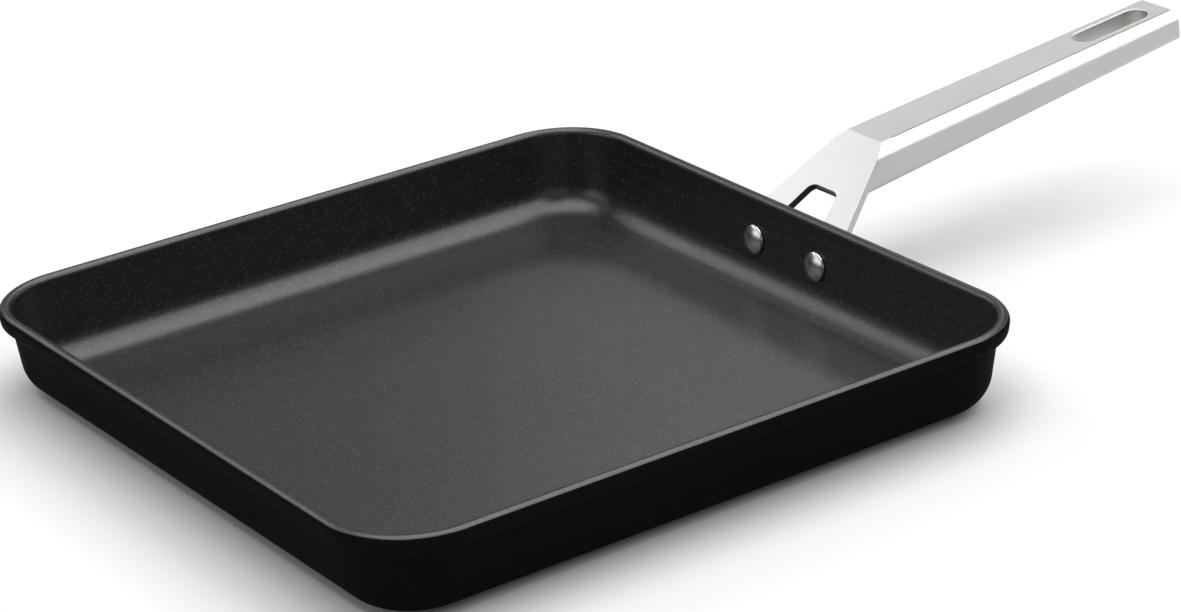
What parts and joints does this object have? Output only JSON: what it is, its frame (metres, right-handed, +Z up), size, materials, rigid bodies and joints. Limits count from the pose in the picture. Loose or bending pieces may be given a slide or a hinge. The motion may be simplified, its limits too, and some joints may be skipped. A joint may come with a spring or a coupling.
{
  "type": "griddle pan",
  "caption": "Square black non-stick griddle pan (plancha) with low drafted walls, a rolled rim and a long hollow stainless handle on two rivets.",
  "frame": {"origin": "middle of the base's underside", "axes": "+X along the handle, from the tray to the handle's far end; +Z up out of the tray; the XZ plane halves the pan"},
  "size_m": [0.4849, 0.29, 0.0738],
  "materials": {
    "nonstick_coat": "satin black non-stick coat on pressed steel",
    "satin_steel": "fine satin",
    "polished_steel": "polished"
  },
  "bodies": {
    "root": {"pan_body": "nonstick_coat", "handle_shell": "satin_steel", "handle_underside": "satin_steel", "handle_end_plate": "satin_steel", "slot_liner": "polished_steel", "rivet_left": "polished_steel", "rivet_right": "polished_steel"}
  },
  "joints": []
}
